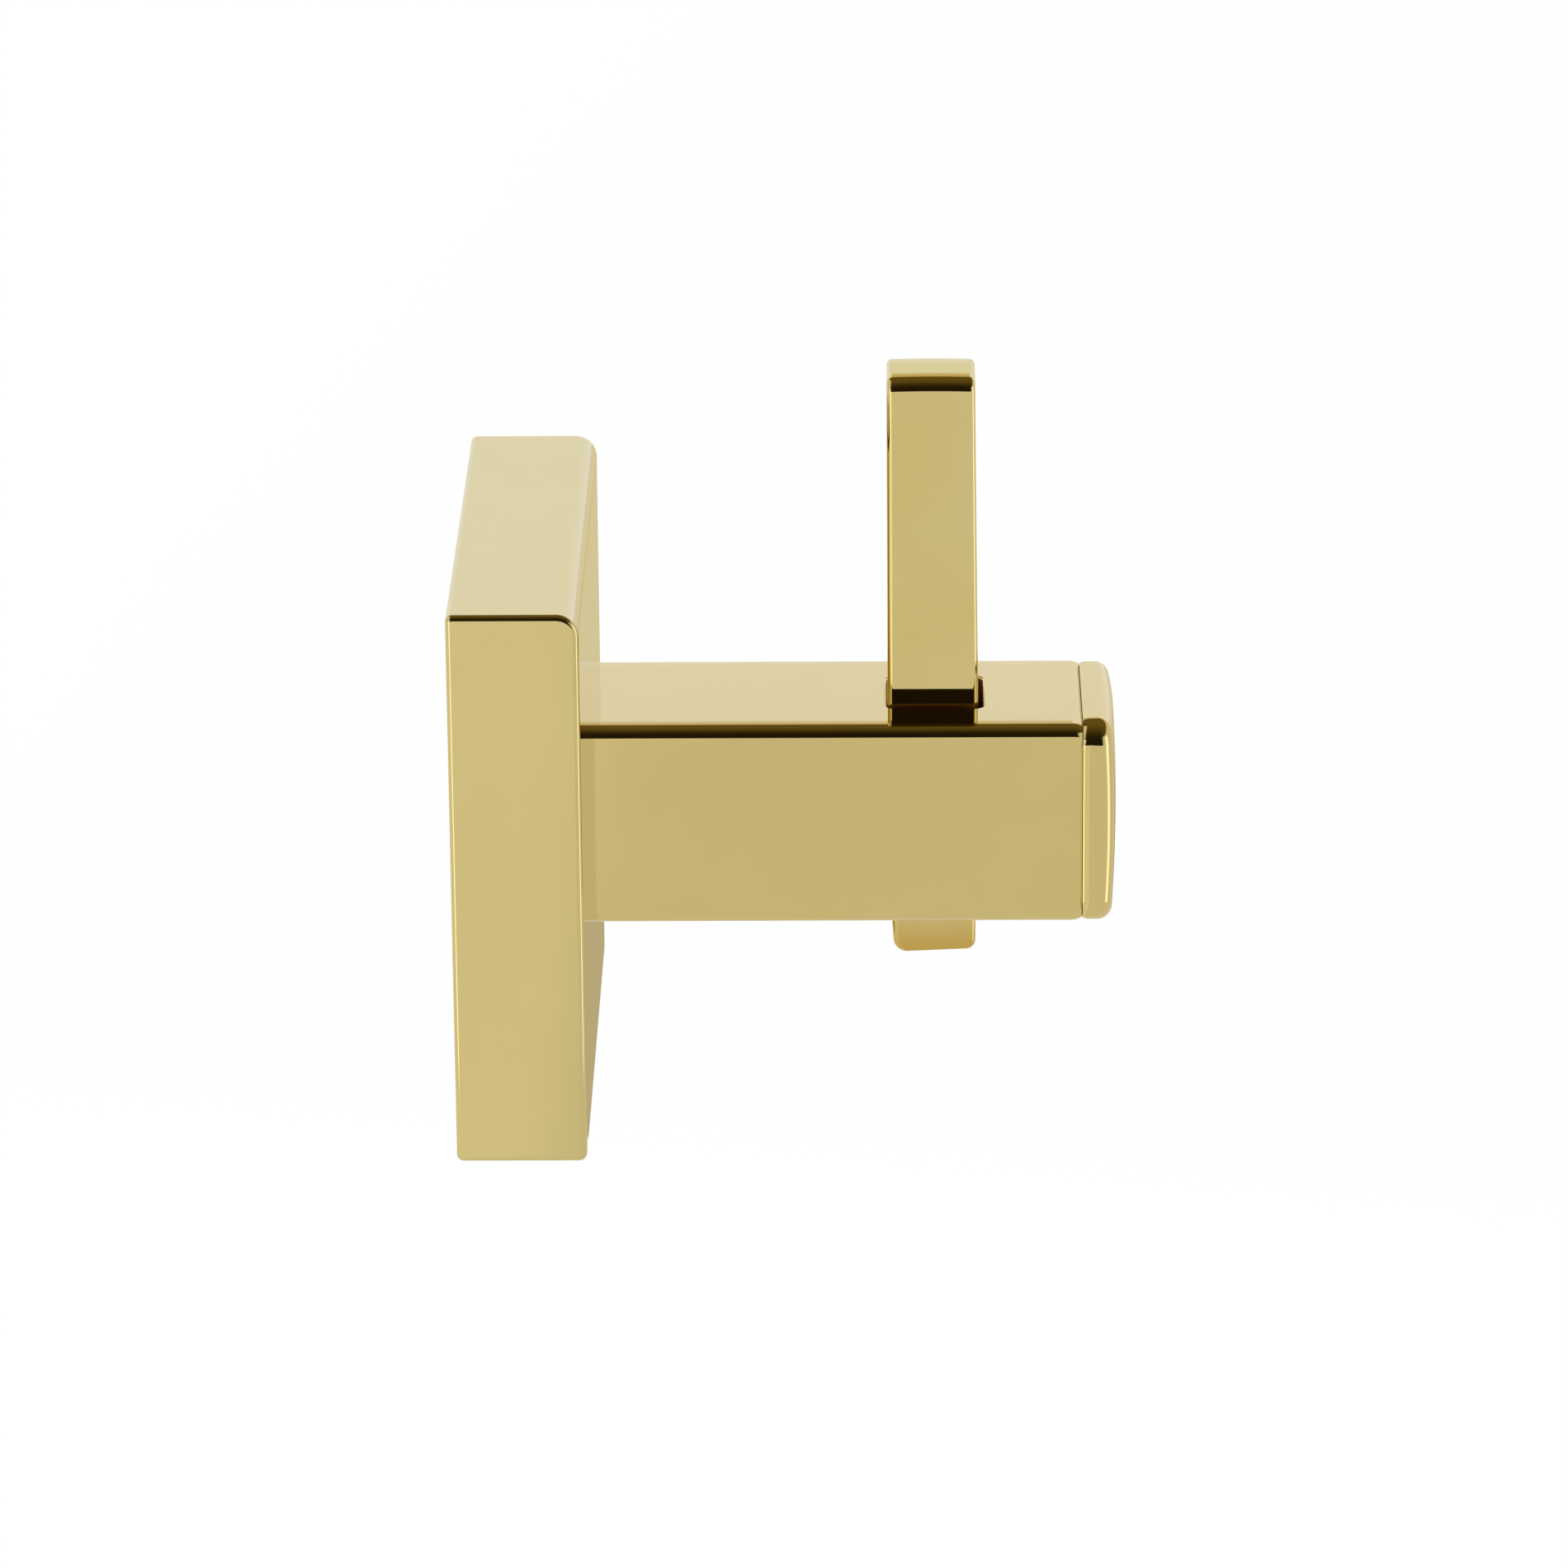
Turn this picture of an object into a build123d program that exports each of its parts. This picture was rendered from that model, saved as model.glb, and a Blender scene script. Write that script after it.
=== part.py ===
from build123d import *
import os

# Square wall hook for a robe: a square rose against the wall, a square post out of it,
# an upright bar through the post and a cap that closes the post's end.
# Sizes are in millimetres. X runs along the wall, +Z is up, and the hook stands out towards -Y.
# The wall is the plane Y = 0, and the origin is the middle of the rose's wall side.

# Rose, the square cover that hides the fixing
rose_size = 50.0
rose_depth = 11.3
rose_wall = 3.0
rose_web = 3.2
rose_top_round = 1.9
rose_bottom_round = 0.7
rose_back_round = 0.6
rose_side_round = 0.5
rose_cavity_round = 2.0

# Lip under the rose's top wall, which hooks behind the bracket
lip_width = 26.0
lip_overlap = 1.6
lip_slope = 1.2

# Wall bracket, a dovetail plate screwed to the wall inside the rose
bracket_end_clearance = 2.0
bracket_side_clearance = 0.25
bracket_front_clearance = 3.1
bracket_seat_clearance = 0.05
bracket_window_clearance = 2.1
bracket_blunt = 0.4
bracket_corner_round = 3.0
wall_hole_spacing = 28.0
wall_hole_diameter = 4.5
wall_hole_head_diameter = 8.6

# Cone-point set screw that draws the rose onto the bracket from below
set_screw_diameter = 4.0
set_screw_point_diameter = 1.0
set_screw_socket = 2.0
set_screw_offset = 3.0
set_screw_recess = 0.4

# Post, the square arm
post_size = 18.3
post_length = 43.1
post_edge_round = 1.1
post_end_round = 0.35

# Upright bar and the mortise that it passes through
bar_setback = 13.015
bar_width = 7.93
bar_depth = 7.3
bar_rise = 29.9
bar_top_taper = 0.27
bar_top_crown = 0.06
bar_top_round = 1.2
bar_edge_round = 0.5
stub_drop = 4.9
stub_shoulder = 4.0
stub_inset = 0.2
stub_taper = 0.33
stub_outer_taper = 0.05
stub_slant = 0.3
stub_heel_round = 1.2
stub_toe_round = 0.8
mortise_seat_clearance = 0.03
mortise_outer_clearance = 0.42
mortise_side_clearance = 0.5
mortise_corner_round = 0.8
mortise_mouth_round = 0.25

# Grub screw that clamps the bar, behind the cap
bar_screw_diameter = 5.0
bar_screw_socket = 2.5
bar_screw_recess = 1.0

# End cap with its round spigot
cap_thickness = 3.08
cap_overhang = 0.2
cap_crown = 0.32
cap_edge_round = 2.2
cap_front_round = 1.2
cap_back_round = 0.45
spigot_diameter = 10.0
spigot_length = 2.5
spigot_clearance = 0.03
spigot_end_clearance = 0.5

# Screw, spring washer and pin that hold the post on the rose
post_screw_diameter = 6.0
post_screw_length = 16.0
post_screw_head_diameter = 10.5
post_screw_head_height = 3.3
post_screw_head_round = 1.6
post_screw_socket = 4.0
post_screw_socket_depth = 2.0
post_screw_end_clearance = 2.5
post_screw_hole_clearance = 0.2
washer_diameter = 11.8
washer_thickness = 1.6
washer_split = 0.7
washer_split_angle = 25.0
pin_diameter = 2.5
pin_length = 6.0
pin_margin = 2.3
pin_end_clearance = 0.3
pin_web_recess = 0.3

# Fits and edges that the small parts share
thread_clearance = 0.05
screw_edge_chamfer = 0.3

# Two faces that meet at more than this angle, in degrees, make a sharp edge
sharp_angle = 30.0

# Places that follow from the sizes, as distances from the wall or heights
cavity_size = rose_size - 2 * rose_wall
cavity_depth = rose_depth - rose_web
bracket_width = cavity_size - 2 * bracket_side_clearance
bracket_top = cavity_size / 2 - bracket_end_clearance
bracket_thickness = cavity_depth - bracket_front_clearance
bracket_back_top = bracket_top - bracket_thickness
bevel_clearance = bracket_seat_clearance * 2**0.5
post_front = rose_depth + post_length
post_top = post_size / 2
bar_wall_side = post_front - bar_setback - bar_width / 2
bar_outer_side = bar_wall_side + bar_width
bar_top = post_top + bar_rise
bar_bottom = -post_top - stub_drop
cap_size = post_size + 2 * cap_overhang
counterbore_floor = post_front - spigot_length - spigot_end_clearance
washer_back = cavity_depth - washer_thickness
pin_start = cavity_depth + pin_web_recess
pin_height = post_top - pin_margin
standing = (Align.CENTER, Align.CENTER, Align.MIN)


def facing_out(distance):
    """A sketch plane that looks away from the wall, at a distance from it."""
    return Plane.XZ.offset(distance)


def round_bar(diameter, start, length, x=0.0, z=0.0):
    """A round bar square to the wall, from its start to start + length."""
    return extrude(facing_out(start) * Pos(x, z) * Circle(diameter / 2), length)


def square_bar(size, start, length, edge_round):
    """A square bar out of the wall, with its long edges rounded."""
    bar = extrude(facing_out(start) * Rectangle(size, size), length)
    return fillet(bar.edges().filter_by(Axis.Y), edge_round)


def hexagon(across_flats):
    """The outline of a hexagon socket."""
    return RegularPolygon(across_flats / 2, 6, major_radius=False)


def along_wall(points, width):
    """A prism along the wall, from the corners of its side view as distance from the wall and height."""
    corners = [(-distance, height) for distance, height in points]
    return extrude(Plane.YZ * Polygon(*corners, align=None), width / 2, both=True)


def front_edges(solid):
    """The edges round the face that is farthest from the wall."""
    return solid.faces().sort_by(Axis.Y)[0].edges()


def back_edges(solid):
    """The edges round the face that is nearest to the wall."""
    return solid.faces().sort_by(Axis.Y)[-1].edges()


def sharp_edges(solid):
    """The edges at which two faces of a solid meet at an angle."""
    found = ShapeList()
    for edge in solid.edges():
        sides = [face for face in solid.faces() if any(edge.is_same(other) for other in face.edges())]
        first, second = [face.normal_at(edge @ 0.5) for face in sides]
        if first.get_angle(second) > sharp_angle:
            found.append(edge)
    return found


def make_rose():
    """The hollow square cover, with the lip, the set screw's hole and the holes for the post's fixing."""
    rose = extrude(facing_out(0) * Rectangle(rose_size, rose_size), rose_depth)
    rose = fillet(front_edges(rose).sort_by(Axis.Z)[-1], rose_top_round)
    rose = fillet(front_edges(rose).sort_by(Axis.Z)[0], rose_bottom_round)
    rose = fillet(back_edges(rose).filter_by(Axis.X), rose_back_round)
    ends = rose.faces().sort_by(Axis.X)
    rose = fillet(ends[0].edges() + ends[-1].edges(), rose_side_round)
    cavity = RectangleRounded(cavity_size, cavity_size, rose_cavity_round)
    rose -= extrude(facing_out(0) * cavity, cavity_depth)
    rose += make_lip()
    hole_radius = set_screw_diameter / 2 + thread_clearance
    hole_base = Pos(0, -set_screw_offset, -rose_size / 2)
    rose -= hole_base * Cylinder(hole_radius, rose_wall, align=standing)
    rose -= round_bar(post_screw_diameter + 2 * post_screw_hole_clearance, 0, rose_depth)
    rose -= round_bar(pin_diameter + 2 * thread_clearance, 0, rose_depth, z=pin_height)
    return rose


def make_lip():
    """The wedge under the rose's top wall: its sloping face lies on the bracket's upper bevel."""
    root = rose_size / 2 - rose_wall / 2
    tip = bracket_top - lip_overlap
    seat = bracket_back_top + bevel_clearance
    slope_start = tip - seat
    slope_end = slope_start + lip_slope
    corners = [
        (0, root),
        (0, tip),
        (slope_start, tip),
        (slope_end, tip + lip_slope),
        (slope_end, root),
    ]
    return along_wall(corners, lip_width)


def make_wall_bracket():
    """The dovetail plate, with a window for the post's screw and two countersunk wall holes."""
    corners = [
        (0, -bracket_back_top),
        (0, bracket_back_top),
        (bracket_thickness, bracket_top),
        (bracket_thickness, -bracket_top),
    ]
    bracket = along_wall(corners, bracket_width)
    outline = RectangleRounded(bracket_width, 2 * (bracket_top - bracket_blunt), bracket_corner_round)
    bracket &= extrude(facing_out(0) * outline, bracket_thickness)
    bracket -= round_bar(washer_diameter + 2 * bracket_window_clearance, 0, bracket_thickness)
    hole_radius = wall_hole_diameter / 2
    head_radius = wall_hole_head_diameter / 2
    sink = Cone(hole_radius, head_radius, head_radius - hole_radius, align=standing)
    sink_plane = facing_out(bracket_thickness - (head_radius - hole_radius))
    for x in (-wall_hole_spacing / 2, wall_hole_spacing / 2):
        bracket -= round_bar(wall_hole_diameter, 0, bracket_thickness, x=x)
        bracket -= sink_plane * Pos(x, 0) * sink
    return bracket


def make_rose_set_screw():
    """The set screw under the rose: its cone lies on the bracket's lower bevel."""
    radius = set_screw_diameter / 2
    point_radius = set_screw_point_diameter / 2
    cone_height = radius - point_radius
    tail = -rose_size / 2 + set_screw_recess
    point = -bracket_back_top - set_screw_offset - bevel_clearance - point_radius
    shank_length = point - tail - cone_height
    screw = Cylinder(radius, shank_length, align=standing)
    screw = chamfer(screw.edges().sort_by(Axis.Z)[0], screw_edge_chamfer)
    screw += Pos(0, 0, shank_length) * Cone(radius, point_radius, cone_height, align=standing)
    screw -= extrude(hexagon(set_screw_socket), shank_length / 2)
    return Pos(0, -set_screw_offset, tail) * screw


def make_post():
    """The square arm with its mortise, the cap's counterbore, the grub screw's hole and the rear holes."""
    post = square_bar(post_size, rose_depth, post_length, post_edge_round)
    post = fillet(front_edges(post), post_end_round)
    post -= mortise()
    mouths = ShapeList()
    for face in post.faces().filter_by(Axis.Z):
        mouths += face.inner_wires()[0].edges()
    post = fillet(mouths, mortise_mouth_round)
    counterbore_depth = post_front - counterbore_floor
    post -= round_bar(spigot_diameter + 2 * spigot_clearance, counterbore_floor, counterbore_depth)
    bar_screw_hole = bar_screw_diameter + 2 * thread_clearance
    post -= round_bar(bar_screw_hole, bar_outer_side, post_front - bar_outer_side)
    tapped_depth = post_screw_length - washer_thickness - rose_web + post_screw_end_clearance
    post -= round_bar(post_screw_diameter + 2 * thread_clearance, rose_depth, tapped_depth)
    pin_depth = pin_start + pin_length + pin_end_clearance - rose_depth
    post -= round_bar(pin_diameter + 2 * thread_clearance, rose_depth, pin_depth, z=pin_height)
    return post


def mortise():
    """The space of the square hole through the post: close on the wall side, open on the outer side."""
    length = bar_width + mortise_seat_clearance + mortise_outer_clearance
    width = bar_depth + 2 * mortise_side_clearance
    middle = bar_wall_side - mortise_seat_clearance + length / 2
    opening = RectangleRounded(width, length, mortise_corner_round)
    return Pos(0, -middle) * extrude(opening, post_size, both=True)


def make_upright_bar():
    """The bar that carries the robe: a slight taper and crown at the top, a narrower stub with round corners."""
    top_outer = bar_outer_side - bar_top_taper
    crown = (-(bar_wall_side + top_outer) / 2, bar_top)
    shoulder = bar_top - bar_top_crown
    stub_start = stub_shoulder - post_top
    stub_wall_side = bar_wall_side + stub_inset
    stub_outer_side = bar_outer_side - stub_inset
    heel = (-stub_wall_side - stub_taper, bar_bottom)
    toe = (-stub_outer_side + stub_outer_taper, bar_bottom + stub_slant)
    corners = [
        (-bar_wall_side, shoulder),
        (-bar_wall_side, stub_start),
        (-stub_wall_side, -post_top),
        heel,
        toe,
        (-stub_outer_side, -post_top),
        (-bar_outer_side, stub_start),
        (-bar_outer_side, post_top),
        (-top_outer, shoulder),
    ]
    outline = make_face(Polyline(*corners) + ThreePointArc(corners[-1], crown, corners[0]))
    outline = fillet(outline.vertices().sort_by_distance(heel)[0], stub_heel_round)
    outline = fillet(outline.vertices().sort_by_distance(toe)[0], stub_toe_round)
    bar = extrude(Plane.YZ * outline, bar_depth / 2, both=True)
    top = bar.faces().sort_by(Axis.Z)[-1]
    bar = fillet(top.edges().filter_by(Axis.X, reverse=True), bar_top_round)
    return fillet(sharp_edges(bar), bar_edge_round)


def make_bar_grub_screw():
    """The grub screw along the post that presses the bar onto the mortise's wall side."""
    start = bar_outer_side + mortise_seat_clearance
    length = counterbore_floor - bar_screw_recess - start
    screw = round_bar(bar_screw_diameter, start, length)
    screw = chamfer(front_edges(screw) + back_edges(screw), screw_edge_chamfer)
    screw -= extrude(facing_out(start + length / 2) * hexagon(bar_screw_socket), length / 2)
    return screw


def make_end_cap():
    """The square cap: slightly crowned, softly rounded, with a spigot in the post's counterbore."""
    cap = square_bar(cap_size, post_front, cap_thickness + cap_crown, cap_edge_round)
    half = cap_size / 2
    crown_radius = (half**2 + cap_crown**2) / (2 * cap_crown)
    cap &= Pos(0, crown_radius - post_front - cap_thickness) * Sphere(crown_radius)
    cap = fillet(front_edges(cap), cap_front_round)
    cap = fillet(back_edges(cap), cap_back_round)
    cap += round_bar(spigot_diameter, post_front - spigot_length, spigot_length)
    return cap


def make_post_screw():
    """The button-head screw from behind the rose into the post."""
    head_start = washer_back - post_screw_head_height
    head = round_bar(post_screw_head_diameter, head_start, post_screw_head_height)
    head = fillet(back_edges(head), post_screw_head_round)
    head -= extrude(facing_out(head_start) * hexagon(post_screw_socket), post_screw_socket_depth)
    shank = round_bar(post_screw_diameter, washer_back, post_screw_length)
    shank = chamfer(front_edges(shank), screw_edge_chamfer)
    return head + shank


def make_spring_washer():
    """The split spring washer, pressed flat under the screw's head."""
    ring = round_bar(washer_diameter, washer_back, washer_thickness)
    ring -= round_bar(post_screw_diameter + 2 * post_screw_hole_clearance, washer_back, washer_thickness)
    slot = Box(washer_split, 3 * washer_thickness, washer_diameter, align=standing)
    middle = washer_back + washer_thickness / 2
    ring -= Pos(0, -middle) * Rot(0, 0, washer_split_angle) * slot
    return ring


def make_locating_pin():
    """The pin that stops the post from turning on the rose."""
    pin = round_bar(pin_diameter, pin_start, pin_length, z=pin_height)
    return chamfer(front_edges(pin) + back_edges(pin), screw_edge_chamfer)


pieces = {
    "rose": make_rose(),
    "wall_bracket": make_wall_bracket(),
    "rose_set_screw": make_rose_set_screw(),
    "post": make_post(),
    "upright_bar": make_upright_bar(),
    "bar_grub_screw": make_bar_grub_screw(),
    "end_cap": make_end_cap(),
    "post_screw": make_post_screw(),
    "spring_washer": make_spring_washer(),
    "locating_pin": make_locating_pin(),
}

os.makedirs("parts", exist_ok=True)
for name, solid in pieces.items():
    export_step(solid, f"parts/{name}.step")
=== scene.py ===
import math

import bmesh
import bpy
from mathutils import Matrix, Vector


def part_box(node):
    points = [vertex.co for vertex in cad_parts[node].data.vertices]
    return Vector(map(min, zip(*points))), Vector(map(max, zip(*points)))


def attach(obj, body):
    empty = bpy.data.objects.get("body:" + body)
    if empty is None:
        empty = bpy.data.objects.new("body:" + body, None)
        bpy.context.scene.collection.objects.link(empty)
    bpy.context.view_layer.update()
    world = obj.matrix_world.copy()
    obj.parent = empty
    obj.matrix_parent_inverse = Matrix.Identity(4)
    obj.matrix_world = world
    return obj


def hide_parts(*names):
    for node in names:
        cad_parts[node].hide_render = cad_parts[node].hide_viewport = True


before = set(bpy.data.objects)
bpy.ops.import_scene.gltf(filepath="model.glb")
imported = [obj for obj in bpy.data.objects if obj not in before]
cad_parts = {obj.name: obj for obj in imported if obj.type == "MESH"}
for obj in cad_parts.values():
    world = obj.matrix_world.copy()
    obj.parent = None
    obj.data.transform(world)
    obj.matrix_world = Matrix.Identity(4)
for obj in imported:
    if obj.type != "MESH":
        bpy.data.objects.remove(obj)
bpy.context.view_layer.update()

# Axes, and one millimetre in metres
X = 0
Y = 1
Z = 2
mm = 0.001

# Sizes of the rose in millimetres, its holes by their radius, and the steps of its roundings
rose_top_round = 1.9
rose_top_steps = 18
rose_bottom_round = 0.7
rose_back_round = 0.6
rose_side_round = 0.5
rose_edge_steps = 10
cavity_half = 22.0
cavity_round = 2.0
cavity_floor = -8.1
lip_half_width = 13.0
lip_tip = 18.4
lip_front = -4.53
lip_slope = 1.2
lip_steps = 1
set_screw_hole = 2.05
set_screw_place = -3.0
post_screw_hole = 3.2
pin_hole = 1.3
pin_height = 6.85

# Sizes of the post in millimetres, its holes by their radius, and the steps of its roundings
post_edge_round = 1.1
post_edge_steps = 14
post_roll_length = 0.9
post_roll_depth = 0.19
mortise_half_width = 4.15
mortise_half_length = 4.19
mortise_middle = -41.58
mortise_corner_round = 0.8
mortise_mouth_round = 0.25
mortise_mouth_steps = 6
counterbore = 5.03
counterbore_floor = -51.4
grub_screw_hole = 2.55
tapped_hole = 3.05
tapped_end = -25.0
pin_hole_end = -14.7

# Sizes of the upright bar in millimetres, the steps of its roundings and the cells of its crown
bar_top_taper = 0.27
bar_top_crown = 0.06
bar_top_cells = 12
bar_top_depth = 0.5
bar_top_round = 1.2
bar_top_steps = 8
bar_edge_round = 0.5
bar_edge_steps = 10
stub_drop = 4.9
stub_shoulder = 4.0
stub_inset = 0.2
stub_taper = 0.33
stub_outer_taper = 0.05
stub_slant = 0.3
stub_heel_round = 1.2
stub_heel_steps = 14
stub_toe_round = 0.8
stub_toe_steps = 12

# Sizes of the end cap in millimetres, the steps of its roundings and the cells of its crown
cap_crown = 0.32
cap_crown_cells = 10
cap_edge_round = 2.2
cap_edge_steps = 16
cap_front_round = 1.2
cap_front_steps = 14
cap_roll_length = 0.65
cap_roll_depth = 0.11
spigot = 5.0

# The steps in which the ends of post and cap roll off, and the fine crease between them in millimetres
roll_steps = 8
crease_width = 0.04
crease_depth = 0.16

# How far from a rounded edge, in millimetres, the polish of a top leans into it, and the weight it has there
post_lean = 1.1
bar_lean = 1.4
cap_lean = 1.6
lean_weight = 0.000001

# How exact a place is in millimetres, and how exact a direction is as a cosine
tolerance = 0.002
cut_tolerance = 0.0001
along_axis = 0.999
facing_up = 0.99

# The angle from which an edge is sharp, the angle up to which faces share a normal, and a circle's sides
sharp_angle = math.radians(30)
shared_angle = math.radians(40)
circle_steps = 48

# Cut brass, clean or dark brown and less metallic with painted shade for the slit round the bar: deep tone,
# pale tone and share of bare metal
clean_cut = ((0.5, 0.36, 0.13, 1), (0.57, 0.42, 0.17, 1), 1.0)
painted_shade_cut = ((0.34, 0.12, 0.03, 1), (0.48, 0.2, 0.055, 1), 0.35)

# Painted shade low on a piece and on its top, deeper in tone: its tones, and the millimetres in which it
# sets in
painted_low_shade = (0.54, 0.35, 0.065, 1)
low_shade_share = 0.95
low_shade_reach = 6.0
painted_top_shade = (0.575, 0.467, 0.112, 1)
top_shade_reach = 0.3

# Heights in millimetres far below and far above the hook, for a piece with no painted shade low or on top
no_painted_shade = (-1000.0, 1000.0)

# Tones of the steels
zinc_dull = (0.52, 0.54, 0.57, 1)
zinc_bright = (0.62, 0.63, 0.64, 1)
steel_speck = (0.42, 0.41, 0.4, 1)
steel_bright = (0.58, 0.57, 0.55, 1)

# The floor: half its size and its height in metres, its tones, and where along Y its shaded part ends
floor_half_size = 6.0
floor_height = -0.3
fibre_dull = (0.9, 0.9, 0.9, 1)
fibre_bright = (0.92, 0.92, 0.92, 1)
paper_white = (1.02, 1.02, 1.02, 1)
paper_shaded = (0.88, 0.88, 0.88, 1)
paper_share = 0.85
shade_end = (0.012, 0.026)

# Tones of the studio that the metal sees
even_white = (0.88, 0.88, 0.88, 1)
screen_low = (1.065, 1.11, 1.25, 1)
screen_high = (0.84, 0.72, 0.5, 1)
dim_near = (0.018, 0.013, 0.004, 1)
dim_far = (0.178, 0.126, 0.033, 1)

# Where the fields of the studio begin and end, as parts of the unit vector that points at them
horizon = (-0.04, 0.0)
screen_side = (-0.15, 0.15)
screen_change = (0.345, 0.44)
screen_top = (0.54, 0.62)
side_slope = 0.35
side_start = (0.25, 0.45)
panel_side = (-0.1, 0.1)
panel_top = (0.42, 0.6)
dim_change = (-1.0, 0.35)

# The tan card, which glows with painted light: its size and place in metres, its turn, its tones, and where
# along X they change
card_length = 4.6
card_width = 0.6
card_start = 0.62
card_height = -0.295
card_turn = math.radians(-12)
card_glow_near = (0.5, 0.415, 0.218, 1)
card_glow_middle = (0.695, 0.608, 0.353, 1)
card_glow_far = (0.9, 0.82, 0.56, 1)
card_first_change = (0.76, 0.86)
card_second_change = (0.98, 1.5)

# The side lights: size in metres and colour
panel_width = 0.21
panel_height = 0.51
panel_colour = (0.68, 0.71, 1.0)

# The camera: place in metres, turn, lens and sensor in millimetres, and nearest distance shown in metres
camera_place = (-0.69152, -0.037336, 0.256215)
camera_yaw = math.radians(-0.752)
camera_pitch = math.radians(20.285)
camera_roll = math.radians(-0.457)
camera_lens = 191.78
camera_sensor = 36.0
camera_clip = 0.01


def box_of(node):
    """The lowest and highest corner of a CAD node in millimetres."""
    low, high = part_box(node)
    return low / mm, high / mm


def close(first, second):
    """Whether two places on an axis are the same."""
    return abs(first - second) < tolerance


def direction(axis):
    """The unit vector along an axis."""
    return Vector([float(place == axis) for place in (X, Y, Z)])


def add_block(bm, low, high):
    """A block between two corners."""
    verts = bmesh.ops.create_cube(bm, size=1.0)["verts"]
    bmesh.ops.scale(bm, vec=high - low, verts=verts)
    bmesh.ops.translate(bm, vec=(low + high) / 2, verts=verts)


def edges_at(bm, places):
    """The edges that lie in one or more planes, each given as its axis and its place on that axis."""
    found = []
    for edge in bm.edges:
        if all(close(vert.co[axis], place) for vert in edge.verts for axis, place in places.items()):
            found.append(edge)
    return found


def edges_along(edges, axis):
    """Those edges of a list that run along an axis."""
    found = []
    for edge in edges:
        run = edge.verts[1].co - edge.verts[0].co
        if abs(run[axis]) > along_axis * run.length:
            found.append(edge)
    return found


def sharp_edges(bm):
    """The edges at which two faces meet at an angle."""
    bm.normal_update()
    return [edge for edge in bm.edges if edge.calc_face_angle(0.0) > sharp_angle]


def round_edges(bm, edges, radius, segments):
    """Rounds edges, or chamfers them where there is only one segment."""
    bmesh.ops.bevel(
        bm,
        geom=edges,
        offset=radius,
        offset_type="OFFSET",
        affect="EDGES",
        segments=segments,
        profile=0.5,
        material=-1,
        clamp_overlap=False,
    )


def flat_face(bm, axis, place):
    """The largest face that lies in a plane square to an axis."""
    inside = [face for face in bm.faces if all(close(vert.co[axis], place) for vert in face.verts)]
    return max(inside, key=lambda face: face.calc_area())


def draw_out(bm, face):
    """Extrudes one face and gives the new one, which is still where the old one was."""
    return bmesh.ops.extrude_discrete_faces(bm, faces=[face])["faces"][0]


def roll_off(bm, face, length, depth):
    """Draws a square bar's end out along Y in shrinking steps, so that it rolls off into a crease."""
    outward = face.normal.y
    half = max(vert.co.x for vert in face.verts)
    shares = [step / roll_steps for step in range(1, roll_steps + 1)]
    steps = [(length * share, depth * share**2) for share in shares]
    steps.append((length + crease_width, depth + crease_depth))
    reached = 0.0
    shrunk = 0.0
    for reach, shrink in steps:
        face = draw_out(bm, face)
        scale = (half - shrink) / (half - shrunk)
        bmesh.ops.scale(bm, vec=(scale, 1, scale), verts=face.verts)
        bmesh.ops.translate(bm, vec=(0, outward * (reach - reached), 0), verts=face.verts)
        reached = reach
        shrunk = shrink


def cut_face(bm, face, axis, places):
    """Cuts one face, and no other, by planes square to an axis."""
    normal = direction(axis)
    faces = [face]
    for place in places:
        edges = dict.fromkeys(edge for part in faces for edge in part.edges)
        verts = dict.fromkeys(vert for part in faces for vert in part.verts)
        made = bmesh.ops.bisect_plane(
            bm,
            geom=[*faces, *edges, *verts],
            dist=cut_tolerance,
            plane_co=normal * place,
            plane_no=normal,
        )
        faces = [part for part in made["geom"] if isinstance(part, bmesh.types.BMFace)]
    return faces


def ring(bm, centre, axis, radius, spread=(0.0, 0.0)):
    """A circle of edges round an axis, or a rounded rectangle where it is spread in its plane."""
    half_step = math.pi / circle_steps
    reach = radius / math.cos(half_step)
    start = Matrix.Rotation(half_step, 4, "Z")
    verts = bmesh.ops.create_circle(bm, segments=circle_steps, radius=reach, matrix=start)["verts"]
    for vert in verts:
        vert.co.x += math.copysign(spread[0], vert.co.x)
        vert.co.y += math.copysign(spread[1], vert.co.y)
    turn = direction(Z).rotation_difference(direction(axis))
    place = Matrix.Translation(centre) @ turn.to_matrix().to_4x4()
    bmesh.ops.transform(bm, matrix=place, verts=verts)
    return list(dict.fromkeys(edge for vert in verts for edge in vert.link_edges))


def fill(bm, edges, normal):
    """A flat wall inside an outer loop of edges and round any loops within it."""
    bmesh.ops.triangle_fill(bm, use_beauty=True, edges=edges, normal=normal)


def open_face(bm, face, rings):
    """Makes openings in a flat face."""
    edges = list(face.edges)
    normal = face.normal.copy()
    bmesh.ops.delete(bm, geom=[face], context="FACES_ONLY")
    fill(bm, edges + rings, normal)


def wall_between(bm, first, second):
    """Joins two loops of edges by a wall."""
    bmesh.ops.bridge_loops(bm, edges=first + second)


def lean(bm, faces, reach):
    """Marks the outer parts of flats, past the reach along X: their polish leans into the rounding."""
    for face in faces:
        for part in cut_face(bm, face, X, (-reach, reach)):
            if abs(part.calc_center_median().x) > reach:
                part.material_index = 1


def corner_normals(bm):
    """A normal for each corner of each face, so that wide flats stay flat and roundings are smooth."""
    bm.normal_update()
    normals = []
    limit = math.cos(shared_angle)
    for face in bm.faces:
        for vert in face.verts:
            total = Vector((0, 0, 0))
            for near in vert.link_faces:
                if near.normal.dot(face.normal) > limit:
                    weight = lean_weight if near.material_index else near.calc_area() ** 2
                    total += near.normal * weight
            normals.append(total.normalized())
    return normals


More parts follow.
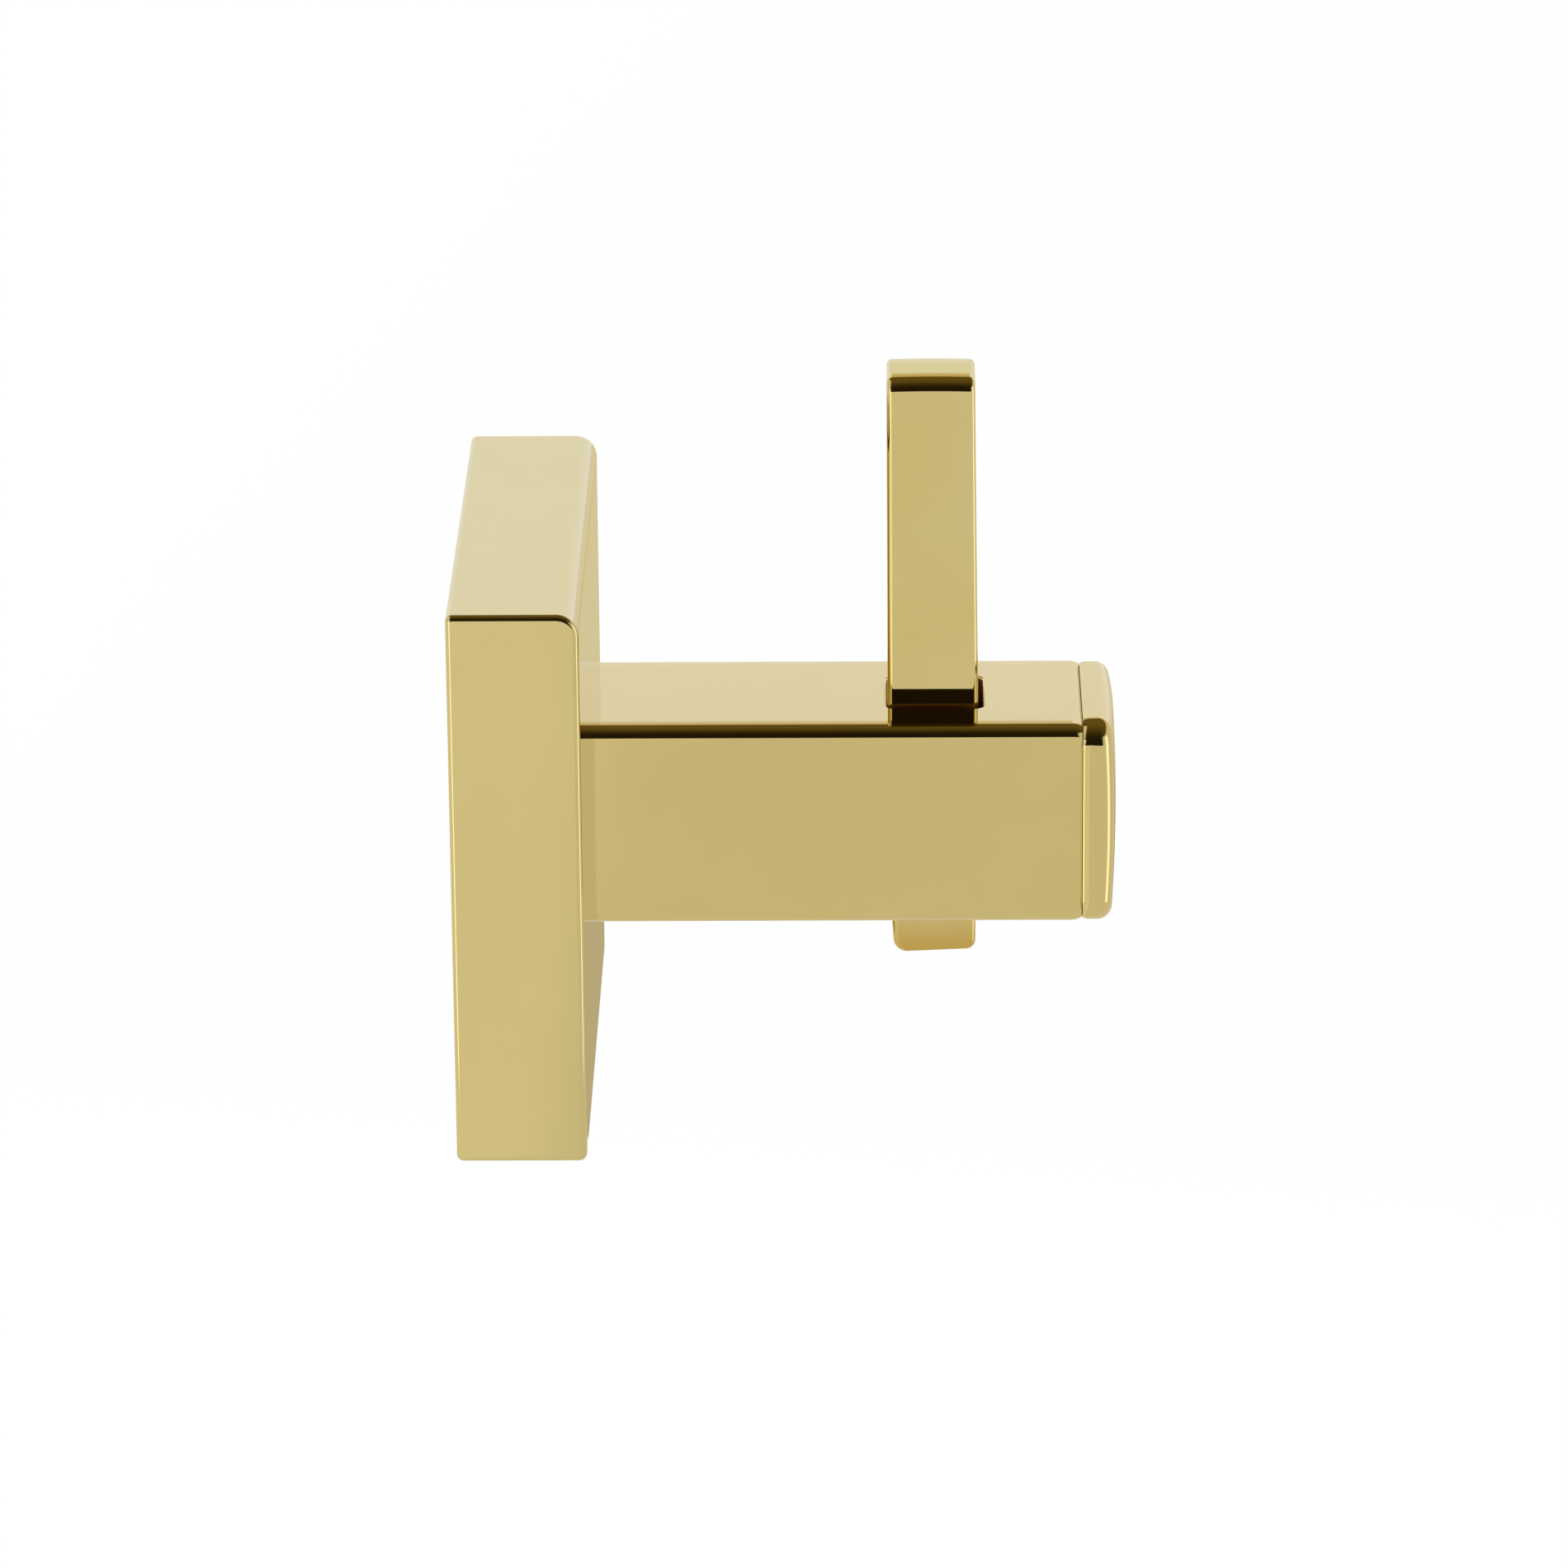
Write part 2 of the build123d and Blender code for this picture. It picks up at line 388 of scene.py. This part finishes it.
def add_object(bm, name, material):
    """Turns a shape in metres into an object with one material."""
    mesh = bpy.data.meshes.new(name)
    bm.to_mesh(mesh)
    bm.free()
    mesh.materials.append(material)
    made = bpy.data.objects.new(name, mesh)
    bpy.context.scene.collection.objects.link(made)
    return made


def add_piece(bm, node, material):
    """Turns a shape in millimetres into the piece that stands for a CAD node."""
    bmesh.ops.recalc_face_normals(bm, faces=bm.faces)
    normals = corner_normals(bm)
    for face in bm.faces:
        face.material_index = 0
    bmesh.ops.scale(bm, vec=(mm, mm, mm), verts=bm.verts)
    piece = add_object(bm, "polished_" + node, material)
    piece.data.shade_smooth()
    piece.data.normals_split_custom_set(normals)
    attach(piece, "root")
    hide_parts(node)


def shape_rose():
    """The hollow square cover with its lip and holes."""
    low, high = box_of("rose")
    bm = bmesh.new()
    add_block(bm, low, high)
    round_edges(bm, edges_at(bm, {Y: low.y, Z: high.z}), rose_top_round, rose_top_steps)
    round_edges(bm, edges_at(bm, {Y: low.y, Z: low.z}), rose_bottom_round, rose_edge_steps)
    round_edges(bm, edges_at(bm, {Y: high.y, Z: high.z}), rose_back_round, rose_edge_steps)
    round_edges(bm, edges_at(bm, {Y: high.y, Z: low.z}), rose_back_round, rose_edge_steps)
    round_edges(bm, edges_at(bm, {X: low.x}) + edges_at(bm, {X: high.x}), rose_side_round, rose_edge_steps)
    straight = cavity_half - cavity_round
    mouth = ring(bm, (0, high.y, 0), Y, cavity_round, (straight, straight))
    floor = ring(bm, (0, cavity_floor, 0), Y, cavity_round, (straight, straight))
    open_face(bm, flat_face(bm, Y, high.y), mouth)
    wall_between(bm, mouth, floor)
    inner = []
    outer = []
    for radius, height in ((post_screw_hole, 0), (pin_hole, pin_height)):
        behind = ring(bm, (0, cavity_floor, height), Y, radius)
        before = ring(bm, (0, low.y, height), Y, radius)
        wall_between(bm, behind, before)
        inner += behind
        outer += before
    fill(bm, floor + inner, direction(Y))
    open_face(bm, flat_face(bm, Y, low.y), outer)
    entry = ring(bm, (0, set_screw_place, low.z), Z, set_screw_hole)
    end = ring(bm, (0, set_screw_place, -cavity_half), Z, set_screw_hole)
    open_face(bm, flat_face(bm, Z, low.z), entry)
    open_face(bm, flat_face(bm, Z, -cavity_half), end)
    wall_between(bm, entry, end)
    across = cut_face(bm, flat_face(bm, Z, cavity_half), X, (-lip_half_width, lip_half_width))
    middle = min(across, key=lambda part: abs(part.calc_center_median().x))
    root = max(cut_face(bm, middle, Y, (lip_front,)), key=lambda part: part.calc_center_median().y)
    lip = draw_out(bm, root)
    bmesh.ops.translate(bm, vec=(0, 0, lip_tip - cavity_half), verts=lip.verts)
    round_edges(bm, edges_at(bm, {Y: lip_front, Z: lip_tip}), lip_slope, lip_steps)
    return bm


def shape_post():
    """The square arm with its mortise, counterbore and screw holes."""
    low, high = box_of("post")
    bm = bmesh.new()
    straight_end = low.y + post_roll_length + crease_width
    add_block(bm, Vector((low.x, straight_end, low.z)), high)
    round_edges(bm, edges_along(bm.edges, Y), post_edge_round, post_edge_steps)
    roll_off(bm, flat_face(bm, Y, straight_end), post_roll_length, post_roll_depth)
    lean(bm, [flat_face(bm, Z, high.z)], high.x - post_edge_round - post_lean)
    spread = (mortise_half_width - mortise_corner_round, mortise_half_length - mortise_corner_round)
    angles = [math.radians(90 / mortise_mouth_steps * step) for step in range(mortise_mouth_steps + 1)]
    loops = []
    for side in (1, -1):
        for angle in angles[::side]:
            grow = mortise_mouth_round * (1 - math.sin(angle))
            sink = mortise_mouth_round * (1 - math.cos(angle))
            centre = (0, mortise_middle, side * (high.z - sink))
            loops.append(ring(bm, centre, Z, mortise_corner_round + grow, spread))
    open_face(bm, flat_face(bm, Z, high.z), loops[0])
    open_face(bm, flat_face(bm, Z, low.z), loops[-1])
    for upper, lower in zip(loops, loops[1:]):
        wall_between(bm, upper, lower)
    mortise_front = mortise_middle - mortise_half_length
    screw_end = ring(bm, (0, mortise_front, 0), Y, grub_screw_hole)
    screw_start = ring(bm, (0, counterbore_floor, 0), Y, grub_screw_hole)
    step = ring(bm, (0, counterbore_floor, 0), Y, counterbore)
    mouth = ring(bm, (0, low.y, 0), Y, counterbore)
    open_face(bm, flat_face(bm, Y, mortise_front), screw_end)
    wall_between(bm, screw_end, screw_start)
    fill(bm, screw_start + step, -direction(Y))
    wall_between(bm, step, mouth)
    open_face(bm, flat_face(bm, Y, low.y), mouth)
    tapped = ring(bm, (0, high.y, 0), Y, tapped_hole)
    tapped_floor = ring(bm, (0, tapped_end, 0), Y, tapped_hole)
    pin = ring(bm, (0, high.y, pin_height), Y, pin_hole)
    pin_floor = ring(bm, (0, pin_hole_end, pin_height), Y, pin_hole)
    open_face(bm, flat_face(bm, Y, high.y), tapped + pin)
    for start, end in ((tapped, tapped_floor), (pin, pin_floor)):
        wall_between(bm, start, end)
        fill(bm, end, direction(Y))
    return bm


def shape_upright_bar():
    """The bar that carries the robe: slightly tapered and crowned, with a tapered stub below the post."""
    low, high = box_of("upright_bar")
    post_low, post_high = box_of("post")
    width = high.y - low.y
    bottom = post_low.z - stub_drop
    bm = bmesh.new()
    add_block(bm, Vector((low.x, low.y, bottom)), high)
    for height in (post_low.z, post_low.z + stub_shoulder, post_high.z):
        bmesh.ops.bisect_plane(
            bm,
            geom=[*bm.verts, *bm.edges, *bm.faces],
            plane_co=(0, 0, height),
            plane_no=direction(Z),
        )
    cuts = [low.y + width * cell / bar_top_cells for cell in range(1, bar_top_cells)]
    cut_face(bm, flat_face(bm, Z, high.z), Y, cuts)
    for vert in bm.verts:
        across = (high.y - vert.co.y) / width
        if close(vert.co.z, high.z):
            vert.co.z -= bar_top_crown * (2 * across - 1) ** 2
            vert.co.y += bar_top_taper * across
        if vert.co.z < post_low.z + tolerance:
            vert.co.y += stub_inset * (2 * across - 1)
        if close(vert.co.z, bottom):
            vert.co.z += stub_slant * across
            vert.co.y += stub_outer_taper * across - stub_taper * (1 - across)
    round_edges(bm, edges_along(edges_at(bm, {Z: bottom}), X), stub_heel_round, stub_heel_steps)
    round_edges(bm, edges_along(edges_at(bm, {Z: bottom + stub_slant}), X), stub_toe_round, stub_toe_steps)
    top = [edge for edge in bm.edges if all(vert.co.z > high.z - 2 * bar_top_crown for vert in edge.verts)]
    across_bar = edges_along(top, X)
    round_edges(bm, [edge for edge in top if edge not in across_bar], bar_top_round, bar_top_steps)
    round_edges(bm, sharp_edges(bm), bar_edge_round, bar_edge_steps)
    upper = [face for face in bm.faces if face.calc_center_median().z > high.z - bar_top_depth]
    level = [face for face in upper if face.normal.z > facing_up]
    flats = [face for face in level if close(face.calc_center_median().x, 0)]
    lean(bm, flats, high.x - bar_top_round - bar_lean)
    # The end strips now have corners along an edge, and are split so that no triangle is empty
    upper = [face for face in bm.faces if face.calc_center_median().z > high.z - bar_top_depth]
    bmesh.ops.triangulate(bm, faces=[face for face in upper if len(face.verts) > 4])
    return bm


def shape_end_cap():
    """The crowned square cap with its spigot."""
    low, high = box_of("end_cap")
    post_end = box_of("post")[0].y
    bm = bmesh.new()
    straight_end = post_end - cap_roll_length - crease_width
    add_block(bm, low, Vector((high.x, straight_end, high.z)))
    round_edges(bm, edges_along(bm.edges, Y), cap_edge_round, cap_edge_steps)
    cuts = [low.x + (high.x - low.x) * cell / cap_crown_cells for cell in range(1, cap_crown_cells)]
    for face in cut_face(bm, flat_face(bm, Y, low.y), X, cuts):
        cut_face(bm, face, Z, cuts)
    crown_radius = (high.x**2 + cap_crown**2) / (2 * cap_crown)
    for vert in bm.verts:
        if close(vert.co.y, low.y):
            vert.co.y += crown_radius - math.sqrt(crown_radius**2 - vert.co.x**2 - vert.co.z**2)
    behind = edges_at(bm, {Y: straight_end})
    front = [edge for edge in sharp_edges(bm) if edge not in behind]
    round_edges(bm, front, cap_front_round, cap_front_steps)
    roll_off(bm, flat_face(bm, Y, straight_end), cap_roll_length, cap_roll_depth)
    lean(bm, [flat_face(bm, Z, high.z)], high.x - cap_edge_round - cap_lean)
    root = ring(bm, (0, post_end, 0), Y, spigot)
    end = ring(bm, (0, high.y, 0), Y, spigot)
    open_face(bm, flat_face(bm, Y, post_end), root)
    wall_between(bm, root, end)
    fill(bm, end, direction(Y))
    return bm


class Shade:
    """A socket of a node tree: sums on it add Math nodes, and node adds any other node."""

    def __init__(self, tree, output=None):
        self.tree = tree
        self.output = output

    def node(self, kind, settings, sockets, output=0):
        """A node of a kind with its settings and the values or links of its sockets."""
        made = self.tree.nodes.new("ShaderNode" + kind)
        for name, value in settings.items():
            setattr(made, name, value)
        for name, value in sockets.items():
            if isinstance(value, Shade):
                self.tree.links.new(value.output, made.inputs[name])
            else:
                made.inputs[name].default_value = value
        return Shade(self.tree, made.outputs[output] if made.outputs else None)

    def math(self, operation, *values):
        return self.node("Math", {"operation": operation}, dict(enumerate(values)))

    def __add__(self, other):
        return self.math("ADD", self, other)

    def __radd__(self, other):
        return self.math("ADD", other, self)

    def __sub__(self, other):
        return self.math("SUBTRACT", self, other)

    def __rsub__(self, other):
        return self.math("SUBTRACT", other, self)

    def __mul__(self, other):
        return self.math("MULTIPLY", self, other)

    def __rmul__(self, other):
        return self.math("MULTIPLY", other, self)

    def __abs__(self):
        return self.math("ABSOLUTE", self)

    def __lt__(self, other):
        return self.math("LESS_THAN", self, other)

    def __gt__(self, other):
        return self.math("GREATER_THAN", self, other)

    def rise(self, start, end):
        """0 before start, 1 after end, and smooth between them."""
        sockets = {"Value": self, "From Min": start, "From Max": end}
        return self.node("MapRange", {"interpolation_type": "SMOOTHSTEP"}, sockets)

    def part(self, axis):
        """One part of a vector."""
        return self.node("SeparateXYZ", {}, {"Vector": self}, axis)

    def mix(self, first, second):
        """A colour between two others, by this value."""
        sockets = {"Factor": self, 6: first, 7: second}
        return self.node("Mix", {"data_type": "RGBA"}, sockets, 2)

    def noise(self, scale, detail=2.0, roughness=0.5, stretch=(1, 1, 1)):
        """Noise at these coordinates, with its scale given as marks per metre."""
        place = self.node("Mapping", {}, {"Vector": self, "Scale": stretch})
        sockets = {"Vector": place, "Scale": scale, "Detail": detail, "Roughness": roughness}
        return self.node("TexNoise", {}, sockets)


def new_material(name):
    """An empty material and the start of its node tree."""
    material = bpy.data.materials.new(name)
    material.use_nodes = True
    material.node_tree.nodes.clear()
    return material, Shade(material.node_tree)


def metal(shade, colour, roughness, height, distance, bare=1.0):
    """A metal surface from its colour, roughness, height of marks, their depth and share of bare metal."""
    bump = shade.node("Bump", {}, {"Height": height, "Strength": 1.0, "Distance": distance})
    sockets = {"Base Color": colour, "Metallic": bare, "Roughness": roughness, "Normal": bump}
    surface = shade.node("BsdfPrincipled", {}, sockets)
    shade.node("OutputMaterial", {}, {"Surface": surface})


def polished_brass(name, pale, deep, hollow, raw=clean_cut, shade_heights=no_painted_shade):
    """Buffed and lacquered brass: a mirror with faint cloudy tone, fine buffing marks and slow waves.
    Within the hollow's half width and half height, and past its start along Y, the metal is left as cut,
    with the raw cut's deep and pale tone and its share of bare metal.
    Below the first shade height and above the second the tone is deeper: painted shade."""
    half_width, half_height, start = hollow
    raw_deep, raw_pale, raw_bare = raw
    low, top = shade_heights
    material, shade = new_material(name)
    at = shade.node("TexCoord", {}, {}, "Object")
    across = (abs(at.part(X)) < half_width * mm) * (abs(at.part(Z)) < half_height * mm)
    cut = across * (at.part(Y) > start * mm)
    cloud = at.noise(scale=70.0, detail=3.0, roughness=0.55)
    haze = at.noise(scale=160.0, detail=3.0, roughness=0.6)
    waves = at.noise(scale=110.0, detail=1.0)
    buffing = at.noise(scale=420.0, detail=4.0, roughness=0.6, stretch=(1.0, 0.12, 1.0))
    cutter = at.noise(scale=2600.0, detail=2.0, roughness=0.5, stretch=(1.0, 0.15, 0.15))
    # Painted shade: a deeper, browner tone sets in below the first height and above the second
    shaded_low = low_shade_share * at.part(Z).rise(low * mm, (low - low_shade_reach) * mm)
    shaded_top = at.part(Z).rise(top * mm, (top + top_shade_reach) * mm)
    thin = cloud.rise(0.25, 0.75).mix(deep, pale)
    polished = shaded_top.mix(shaded_low.mix(thin, painted_low_shade), painted_top_shade)
    sawn = haze.rise(0.2, 0.8).mix(raw_deep, raw_pale)
    smooth = 0.03 + 0.025 * buffing + 0.02 * haze.rise(0.35, 0.8)
    rough = 0.24 + 0.16 * cutter
    metal(
        shade,
        colour=cut.mix(polished, sawn),
        roughness=smooth * (1 - cut) + rough * cut,
        height=waves * (1 - cut) + 4.0 * cutter * cut,
        distance=0.000004,
        bare=1 - (1 - raw_bare) * cut,
    )
    return material


def zinc_plated_steel():
    """Pressed steel with a clear zinc coat, slightly blue: rolling lines, fine grain and rubbed patches."""
    material, shade = new_material("zinc_plated_steel")
    at = shade.node("TexCoord", {}, {}, "Object")
    patches = at.noise(scale=90.0, detail=4.0, roughness=0.6)
    rolling = at.noise(scale=1800.0, detail=3.0, roughness=0.6, stretch=(0.08, 1.0, 1.0))
    grain = at.noise(scale=3200.0, detail=2.0)
    tone = 0.7 * patches + 0.3 * rolling
    metal(
        shade,
        colour=tone.rise(0.3, 0.7).mix(zinc_dull, zinc_bright),
        roughness=0.22 + 0.12 * patches + 0.08 * rolling,
        height=grain + 0.6 * rolling,
        distance=0.000008,
    )
    return material


def stainless_steel():
    """Turned stainless steel with fine tool marks and a few darker specks."""
    material, shade = new_material("stainless_steel")
    at = shade.node("TexCoord", {}, {}, "Object")
    marks = at.noise(scale=1500.0, detail=3.0, roughness=0.6, stretch=(0.1, 1.0, 1.0))
    specks = at.noise(scale=600.0, detail=4.0, roughness=0.7)
    metal(
        shade,
        colour=specks.rise(0.3, 0.6).mix(steel_speck, steel_bright),
        roughness=0.2 + 0.16 * marks,
        height=marks,
        distance=0.000006,
    )
    return material


def dress(node, material):
    """Gives a CAD node its finish."""
    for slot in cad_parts[node].material_slots:
        slot.material = material


def floor_paper():
    """White floor paper that keeps shadows. Before the wall the metal sees it a little less bright."""
    material, shade = new_material("floor_paper")
    at = shade.node("TexCoord", {}, {}, "Object")
    fibre = at.noise(scale=6.0, detail=3.0)
    seen = shade.node("LightPath", {}, {}, "Is Camera Ray")
    through = shade.node("LightPath", {}, {}, "Is Transmission Ray")
    mirrored = shade.node("LightPath", {}, {}, "Is Glossy Ray")
    paper = shade.node("BsdfDiffuse", {}, {"Color": fibre.mix(fibre_dull, fibre_bright)})
    shaded = (1 - at.part(Y).rise(*shade_end)) * mirrored
    glow = shade.node("Emission", {}, {"Color": shaded.mix(paper_white, paper_shaded), "Strength": 1.0})
    factor = paper_share * (seen + through + mirrored)
    surface = shade.node("MixShader", {}, {0: factor, 1: paper, 2: glow})
    shade.node("OutputMaterial", {}, {"Surface": surface})
    return material


def lay_floor():
    """A floor well below the hook, as under a hook on a wall."""
    bm = bmesh.new()
    bmesh.ops.create_grid(bm, x_segments=1, y_segments=1, size=floor_half_size)
    bmesh.ops.translate(bm, vec=(0, 0, floor_height), verts=bm.verts)
    floor = add_object(bm, "floor", floor_paper())


def hang_tent():
    """An even white studio round the hook; the metal sees its backdrop, its sides and a dim space above."""
    world = bpy.data.worlds.new("studio")
    bpy.context.scene.world = world
    world.use_nodes = True
    world.node_tree.nodes.clear()
    shade = Shade(world.node_tree)
    way = shade.node("TexCoord", {}, {}, "Generated")
    mirrored = shade.node("LightPath", {}, {}, "Is Glossy Ray")
    ahead = way.part(X)
    side = way.part(Y)
    height = way.part(Z)
    over_panel = (1 - side.rise(*panel_side)) * height.rise(*panel_top)
    aside = (abs(side) - side_slope * abs(ahead)).rise(*side_start) * (1 - over_panel)
    backdrop = (1 - height.rise(*screen_top)) * ahead.rise(*screen_side)
    screen = height.rise(*screen_change).mix(screen_low, screen_high)
    dim = ahead.rise(*dim_change).mix(dim_near, dim_far)
    around = aside.mix(backdrop.mix(dim, screen), even_white)
    seen = (1 - height.rise(*horizon)).mix(around, even_white)
    colour = mirrored.mix((1, 1, 1, 1), seen)
    surface = shade.node("Background", {}, {"Color": colour, "Strength": 1.0})
    shade.node("OutputWorld", {}, {"Surface": surface})


def lay_card():
    """A long tan card on the floor behind the hook, out of the camera's sight, glowing with painted light
    that only reflections show.
    """
    material, shade = new_material("glowing_tan_card")
    at = shade.node("TexCoord", {}, {}, "Object")
    near = at.part(X).rise(*card_first_change).mix(card_glow_near, card_glow_middle)
    colour = at.part(X).rise(*card_second_change).mix(near, card_glow_far)
    # Painted light: the card glows in these tones in place of reflecting the lamps
    surface = shade.node("Emission", {}, {"Color": colour, "Strength": 1.0})
    shade.node("OutputMaterial", {}, {"Surface": surface})
    bm = bmesh.new()
    bmesh.ops.create_grid(bm, x_segments=1, y_segments=1, size=0.5)
    bmesh.ops.scale(bm, vec=(card_length, card_width, 1), verts=bm.verts)
    bmesh.ops.translate(bm, vec=(card_start + card_length / 2, 0, card_height), verts=bm.verts)
    bmesh.ops.rotate(bm, matrix=Matrix.Rotation(card_turn, 3, "Z"), verts=bm.verts)
    card = add_object(bm, "glowing_tan_card", material)
    card.visible_camera = False
    card.visible_diffuse = False


def side_light(name, place, energy):
    """A tall soft panel beside the hook, turned to it."""
    data = bpy.data.lights.new(name, "AREA")
    data.shape = "RECTANGLE"
    data.size = panel_width
    data.size_y = panel_height
    data.color = panel_colour
    data.energy = energy
    lamp = bpy.data.objects.new(name, data)
    lamp.location = place
    lamp.rotation_mode = "QUATERNION"
    lamp.rotation_quaternion = (-Vector(place)).to_track_quat("-Z", "Y")
    lamp.visible_camera = False
    bpy.context.scene.collection.objects.link(lamp)


def set_camera():
    """The camera of the photo, which looks along the wall at the hook's side, a little from above."""
    data = bpy.data.cameras.new("camera")
    data.sensor_width = camera_sensor
    data.lens = camera_lens
    data.clip_start = camera_clip
    camera = bpy.data.objects.new("camera", data)
    level = math.cos(camera_pitch)
    ahead = Vector((math.cos(camera_yaw) * level, -math.sin(camera_yaw) * level, -math.sin(camera_pitch)))
    right = ahead.cross(direction(Z)).normalized()
    up = right.cross(ahead)
    turned_right = right * math.cos(camera_roll) + up * math.sin(camera_roll)
    turned_up = up * math.cos(camera_roll) - right * math.sin(camera_roll)
    turn = Matrix((turned_right, turned_up, -ahead)).transposed().to_4x4()
    camera.matrix_world = Matrix.Translation(camera_place) @ turn
    bpy.context.scene.collection.objects.link(camera)
    bpy.context.scene.camera = camera


set_camera()
hang_tent()
lay_floor()
lay_card()
side_light("outer_light", place=(-0.165, -0.577, 0.0), energy=0.43)
side_light("wall_light", place=(-0.49, 0.344, 0.0), energy=0.4)

rose_finish = polished_brass(
    "rose_brass",
    pale=(0.627, 0.515, 0.214, 1),
    deep=(0.609, 0.498, 0.203, 1),
    hollow=(22.3, 22.3, -8.3),
)
# Painted shade: the post's mortise and holes are dark brown, for the shade in the slit round the bar
post_finish = polished_brass(
    "post_brass",
    pale=(0.642, 0.512, 0.205, 1),
    deep=(0.622, 0.494, 0.195, 1),
    hollow=(5.2, 9.0, -53.4),
    raw=painted_shade_cut,
)
# Painted shade on the bar: a deeper tone on its stub below the post and on its top
bar_finish = polished_brass(
    "bar_brass",
    pale=(0.675, 0.557, 0.245, 1),
    deep=(0.647, 0.517, 0.192, 1),
    hollow=(0.0, 0.0, 0.0),
    shade_heights=(-8.5, 38.68),
)
cap_finish = polished_brass(
    "cap_brass",
    pale=(0.645, 0.512, 0.2, 1),
    deep=(0.625, 0.494, 0.19, 1),
    hollow=(5.2, 5.2, -54.3),
)
add_piece(shape_rose(), "rose", rose_finish)
add_piece(shape_post(), "post", post_finish)
add_piece(shape_upright_bar(), "upright_bar", bar_finish)
add_piece(shape_end_cap(), "end_cap", cap_finish)

zinc_finish = zinc_plated_steel()
steel_finish = stainless_steel()
for node in ("wall_bracket", "post_screw", "spring_washer"):
    dress(node, zinc_finish)
for node in ("rose_set_screw", "bar_grub_screw", "locating_pin"):
    dress(node, steel_finish)

bpy.context.scene.view_settings.view_transform = "Standard"
